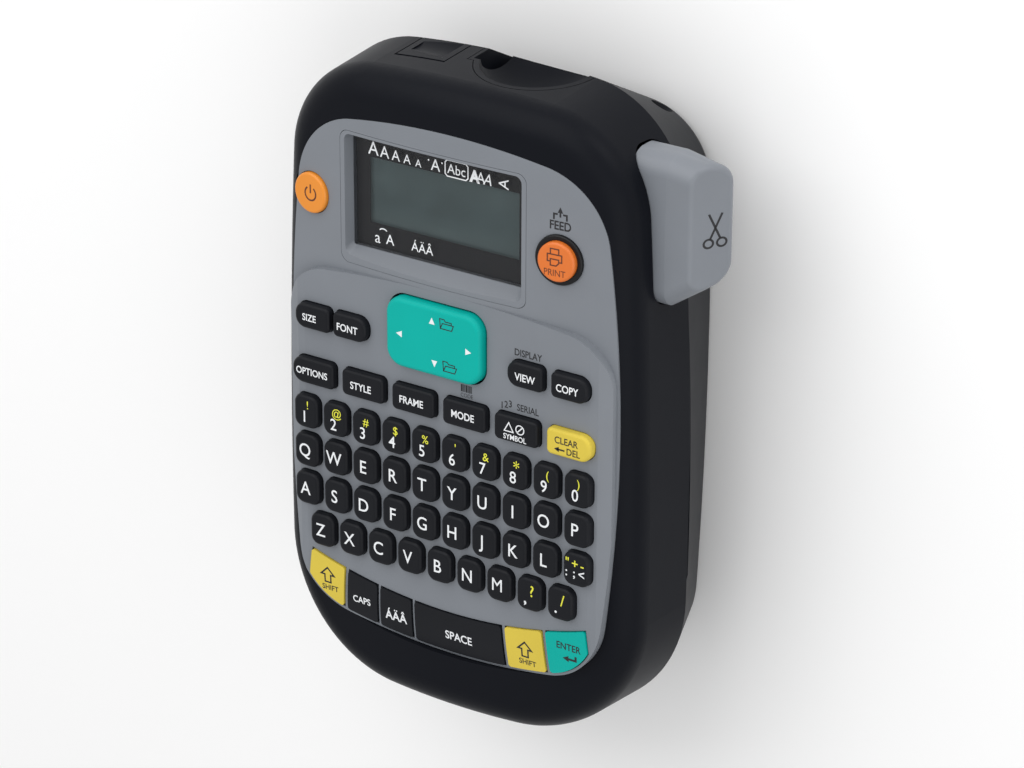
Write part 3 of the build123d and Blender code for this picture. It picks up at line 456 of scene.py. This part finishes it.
# ---------------------------------------------------------------- key legends
ROWS = [("keys_digits", "1234567890"), ("keys_upper", "QWERTYUIOP"), ("keys_home", "ASDFGHJKL"),
        ("keys_lower", "ZXCVBNM")]
SHIFTED = "!@#$%'&*()"
ROW_KEYS = 10              # keys in a row, apart from the last row, which has one less
LETTER_SQUEEZE = 0.92
SYMBOL_SQUEEZE = 0.95


def width_of(node):
    low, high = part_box(node)
    return (high[0] - low[0]) / MM


def key_centre(row, place):
    """Centre of a character key. A row of ten is one pitch wider than a row of nine."""
    x, y = middle(ROWS[row][0])
    pitch = width_of(ROWS[0][0]) - width_of(ROWS[-1][0])
    count = ROW_KEYS - 1 if row == len(ROWS) - 1 else ROW_KEYS
    return x + (place - (count - 1) / 2) * pitch, y


def print_digits(white, lime):
    """Digits of the first row, each with the symbol above it."""
    for place, (digit, symbol) in enumerate(zip(ROWS[0][1], SHIFTED)):
        x, y = key_centre(0, place)
        white.text(digit, x - 0.3, y - 1.2, 3.0, LETTER_SQUEEZE, bold=LETTER_BOLD)
        size, lift = (3.0, 1.65) if symbol == "*" else (2.1, 2.0)
        lime.text(symbol, x + 0.7, y + lift, size, SYMBOL_SQUEEZE, bold=0.004)


def print_letters(white, row):
    """Letters of a row. The M is left thin, because its inner corners close up when it is fattened."""
    for place, letter in enumerate(ROWS[row][1]):
        x, y = key_centre(row, place)
        bold = 0.0 if letter == "M" else LETTER_BOLD
        white.text(letter, x - 0.35, y + 0.1, 3.35, LETTER_SQUEEZE, bold=bold)


def print_home_signs(white, lime):
    """Six signs on the last key of the third row."""
    x, y = key_centre(2, 9)
    for over, under, step in (("\"", ":", -2.2), ("+", ";", 0.0), ("-", "<", 2.1)):
        lime.text(over, x + step - 0.1, y + 1.7, 2.3, bold=0.01)
        white.text(under, x + step - 0.3, y - 0.8, 2.3, bold=0.01)


def print_lower_signs(white, lime):
    """Comma, full stop and the signs above them, on the last two keys."""
    for place, mark, over in ((7, ",", "?"), (8, ".", "/")):
        x, y = key_centre(3, place)
        white.text(mark, x - 1.0, y - 1.0, 2.8, bold=0.02)
        lime.text(over, x + 0.9, y + 1.2, 2.9, bold=LETTER_BOLD)


def print_character_keys():
    for row, (node, _) in enumerate(ROWS):
        white = Sheet()
        lime = Sheet()
        if row == 0:
            print_digits(white, lime)
        else:
            print_letters(white, row)
        if row == 2:
            print_home_signs(white, lime)
        if row == 3:
            print_lower_signs(white, lime)
        white.lay(node + "_letters", [node], "white", node + "_row")
        if lime.verts:
            lime.lay(node + "_symbols", [node], "lime", node + "_row")


# Word on a key, its place from the middle of the key and its height
WORDS = {
    "key_options": ("OPTIONS", -0.2, -0.01, 1.75), "key_style": ("STYLE", -0.4, -0.25, 1.85),
    "key_frame": ("FRAME", -0.3, -0.15, 1.85), "key_mode": ("MODE", -0.2, -0.05, 1.85),
    "key_size": ("SIZE", -0.7, -0.15, 1.75), "key_font": ("FONT", -0.5, -0.25, 1.85),
    "key_preview": ("VIEW", 0.25, -0.35, 1.85), "key_copies": ("COPY", -0.35, -0.3, 1.85),
    "key_caps": ("CAPS", -0.2, -0.99, 1.8), "key_accent": ("\u00c1\u00c4\u00c2", 0.03, -1.12, 2.5),
    "key_space": ("SPACE", -0.08, -1.15, 2.2),
}


def print_words():
    for node, (word, right, up, height) in WORDS.items():
        x, y = middle(node)
        sheet = Sheet()
        sheet.text(word, x + right, y + up, height, 0.88, bold=WORD_BOLD)
        sheet.lay(node + "_word", [node], "white", node + "_cap")


def print_symbol_key():
    x, y = middle("key_symbol")
    sheet = Sheet()
    sheet.stroke([(x - 1.8, y + 1.75), (x - 0.5, y - 0.55), (x - 3.1, y - 0.55)], THIN_LINE, closed=True)
    sheet.ring(x + 1.4, y + 0.55, 1.15, THIN_LINE)
    sheet.stroke([(x + 0.6, y - 0.25), (x + 2.2, y + 1.35)], THIN_LINE)
    sheet.text("SYMBOL", x - 0.1, y - 1.95, 1.35, 0.9, bold=0.014)
    sheet.lay("key_symbol_signs", ["key_symbol"], "white", "key_symbol_cap")


def print_clear_key():
    x, y = middle("key_clear")
    sheet = Sheet()
    sheet.text("CLEAR", x - 0.5, y + 0.85, 1.7, 0.9, bold=SMALL_BOLD)
    sheet.text("DEL", x + 1.5, y - 1.55, 1.7, 0.9, bold=SMALL_BOLD)
    left_arrow(sheet, x - 2.2, y - 1.55, 2.6, 0.8)
    sheet.lay("key_clear_word", ["key_clear"], "ink", "key_clear_cap")


def print_shift_keys():
    for node, right, up in (("key_shift_left", 0.12, 0.8), ("key_shift_right", -0.02, 0.0)):
        x, y = middle(node)
        sheet = Sheet()
        outline_arrow(sheet, x + right, y + up)
        sheet.text("SHIFT", x + right + 0.6, y + up - 3.5, 1.45, 0.95, bold=SMALL_BOLD)
        sheet.lay(node + "_sign", [node], "ink", node + "_cap")


def print_enter_key():
    x, y = middle("key_enter")
    sheet = Sheet()
    sheet.text("ENTER", x + 0.67, y + 1.78, 1.8, 0.9, bold=SMALL_BOLD)
    sheet.stroke([(x + 2.77, y - 0.32), (x + 2.77, y - 1.52), (x + 0.57, y - 1.52)], 0.6)
    triangle(sheet, x + 0.07, y - 1.52, pi, 1.0)
    sheet.lay("key_enter_sign", ["key_enter"], "ink", "key_enter_cap")


def print_nav_pad():
    x, y = middle("nav_pad")
    white = Sheet()
    for right, up, turn in ((-0.05, 5.25, pi / 2), (-9.55, -0.15, pi), (10.35, -0.15, 0),
                            (0.65, -5.35, -pi / 2)):
        triangle(white, x + right, y + up, turn, 1.0)
    white.lay("nav_arrows", ["nav_pad"], "white", "nav")
    black = Sheet()
    folder(black, x + 4.15, y + 5.35)
    folder(black, x + 5.05, y - 5.55)
    black.lay("nav_folders", ["nav_pad"], "ink", "nav")


def print_plate():
    """Small signs on the plate, each placed from the key or button below it."""
    sheet = Sheet()
    x, y = middle("key_preview")
    sheet.text("DISPLAY", x - 0.15, y + 4.95, 1.7, 0.85, bold=SMALL_BOLD)
    x, y = middle("key_mode")
    bars(sheet, x - 0.4, y + 6.35, 3.2, 1.9)
    sheet.text("CODE", x - 0.3, y + 4.55, 1.0, 0.9)
    x, y = middle("key_symbol")
    for place, digit in enumerate("123"):
        sheet.text(digit, x - 5.1 + place * 1.2, y + 4.85 + place * 0.4, 1.7, 0.9, bold=SMALL_BOLD)
    sheet.text("SERIAL", x + 2.3, y + 5.35, 1.7, 0.85, bold=SMALL_BOLD)
    x, y = middle("print_button")
    sheet.text("FEED", x + 0.08, y + 8.5, 2.1, 0.85, bold=0.02)
    feed_sign(sheet, x + 0.08, y + 11.1)
    sheet.lay("plate_signs", ["faceplate"], "ink", "case")


def print_buttons():
    sheet = Sheet()
    power_sign(sheet, *middle("power_button"))
    sheet.lay("power_sign", ["power_button"], "brown", "power")
    x, y = middle("print_button")
    sheet = Sheet()
    printer_sign(sheet, x, y + 1.1)
    sheet.text("PRINT", x, y - 2.6, 1.6, 0.9)
    sheet.lay("print_sign", ["print_button"], "brown", "print")


def print_cutter():
    low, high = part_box("cutter_button")
    sheet = Sheet()
    scissors_sign(sheet, (low[1] + high[1]) / 2 / MM + 1.5, (low[2] + high[2]) / 2 / MM + 0.05)
    sheet.lay("cutter_sign", ["cutter_button"], "ink", "cutter", side=True)


# ---------------------------------------------------------------- window
WINDOW_GAP = 0.1           # the window is this much smaller than its seat
MASK_DROP = 0.05           # the printed border lies this far under the window
BORDER_LEFT = 4.0          # widths of the border
BORDER_RIGHT = 2.1
BORDER_LOW = 6.3
BORDER_HIGH = 5.9


def print_window():
    """Signs of the display's upper and lower line."""
    x, y = middle("display_window")
    sheet = Sheet()
    for right, up, height in ((-18.8, 11.5, 3.3), (-15.5, 11.2, 2.9), (-12.2, 11.0, 2.6), (-8.9, 10.8, 2.3),
                              (-5.6, 10.5, 1.9), (-0.6, 11.1, 2.9)):
        sheet.text("A", x + right, y + up, height, 0.95)
    for right in (-2.6, 1.3):
        sheet.disc(x + right, y + 12.0, 0.22)
    sheet.text("Abc", x + 5.5, y + 11.1, 2.4, 0.95)
    sheet.stroke([(x + 2.8, y + 9.1), (x + 8.2, y + 9.1), (x + 8.8, y + 9.7), (x + 8.8, y + 12.6),
                  (x + 8.2, y + 13.2), (x + 2.8, y + 13.2), (x + 2.2, y + 12.6), (x + 2.2, y + 9.7)],
                 0.3, closed=True)
    sheet.text("A", x + 10.7, y + 10.7, 2.8, 0.9, bold=0.05)
    sheet.text("A", x + 12.5, y + 10.7, 2.8, 0.9)
    sheet.text("A", x + 14.3, y + 10.7, 2.8, 0.9, slant=0.25)
    sheet.text("A", x + 19.0, y + 10.6, 2.8, 0.95, turn=pi / 2)
    sheet.text("a", x - 17.8, y - 11.2, 2.9, 0.95)
    sheet.text("A", x - 14.1, y - 11.1, 2.6, 0.95)
    sheet.ring(x - 16.1, y - 10.2, 1.5, 0.3, pi * 0.25, pi * 0.5)
    sheet.text("\u00c1\u00c4\u00c2", x - 4.6, y - 11.2, 2.3, 0.95)
    sheet.lay("window_signs", ["display_window"], "white", "case")


def make_window_border():
    """Printed border around the part of the display that is seen."""
    near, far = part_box("display_window")
    left = near[0] - WINDOW_GAP * MM
    right = far[0] + WINDOW_GAP * MM
    low = near[1] - WINDOW_GAP * MM
    high = far[1] + WINDOW_GAP * MM
    view_left = left + BORDER_LEFT * MM
    view_right = right - BORDER_RIGHT * MM
    view_low = low + BORDER_LOW * MM
    view_high = high - BORDER_HIGH * MM
    outer = [(left, low), (right, low), (right, high), (left, high)]
    inner = [(view_left, view_low), (view_right, view_low), (view_right, view_high), (view_left, view_high)]
    verts = [(x, y, near[2] - MASK_DROP * MM) for x, y in outer + inner]
    faces = [[i, (i + 1) % 4, 4 + (i + 1) % 4, 4 + i] for i in range(4)]
    link_mesh("window_border", verts, faces, "mask", "case")


# ---------------------------------------------------------------- camera and light
def make_camera():
    """Camera far off, to the right of the object, beyond its tape end and above it."""
    data = bpy.data.cameras.new("camera")
    data.sensor_width = 36.0
    data.lens = 141.4
    data.clip_start = 0.05
    camera = bpy.data.objects.new("camera", data)
    bpy.context.scene.collection.objects.link(camera)
    right = Vector((0.8271, 0.0038, -0.5621))
    up = Vector((-0.2312, 0.9137, -0.3341))
    back = Vector((0.5123, 0.4063, 0.7566))
    turn = Matrix((right, up, back)).transposed()
    camera.matrix_world = Matrix.Translation((0.51115, 0.4004, 0.7796)) @ turn.to_4x4()
    bpy.context.scene.camera = camera


def area_light(name, place, target, size, power):
    """Soft light that faces a target. Size and places are in metres, power in watts."""
    data = bpy.data.lights.new(name, "AREA")
    data.shape = "RECTANGLE"
    data.size = size[0]
    data.size_y = size[1]
    data.energy = power
    light = bpy.data.objects.new(name, data)
    light.location = place
    light.rotation_euler = (Vector(target) - Vector(place)).to_track_quat("-Z", "Y").to_euler()
    bpy.context.scene.collection.objects.link(light)


def make_studio():
    """Plain pale floor, soft lights and a pale surround."""
    bpy.ops.mesh.primitive_plane_add(size=8, location=(0, 0, -0.0002))
    floor = bpy.context.object
    floor.name = "floor"
    floor.data.materials.append(moulded("floor_paper", (0.95, 0.95, 0.95), 0.8, grain=0.0, tone_change=0.0))
    world = bpy.data.worlds.new("surround")
    world.use_nodes = True
    background = world.node_tree.nodes["Background"]
    background.inputs["Color"].default_value = (1, 1, 1, 1)
    background.inputs["Strength"].default_value = 0.66
    bpy.context.scene.world = world
    front = (0, 0, 0.03)
    area_light("key_light", (-0.2, 0.7, 0.65), front, (1.0, 1.0), 5.4)
    area_light("fill_light", (0.9, -0.2, 0.9), front, (1.1, 1.1), 3.8)
    area_light("rim_light", (0.55, 0.75, 0.12), (0.02, 0.05, 0.03), (0.5, 0.3), 1.5)
    bpy.context.scene.view_settings.view_transform = "Standard"


paint_nodes()
print_character_keys()
print_words()
print_symbol_key()
print_clear_key()
print_shift_keys()
print_enter_key()
print_nav_pad()
print_plate()
print_buttons()
print_cutter()
print_window()
make_window_border()
make_camera()
make_studio()
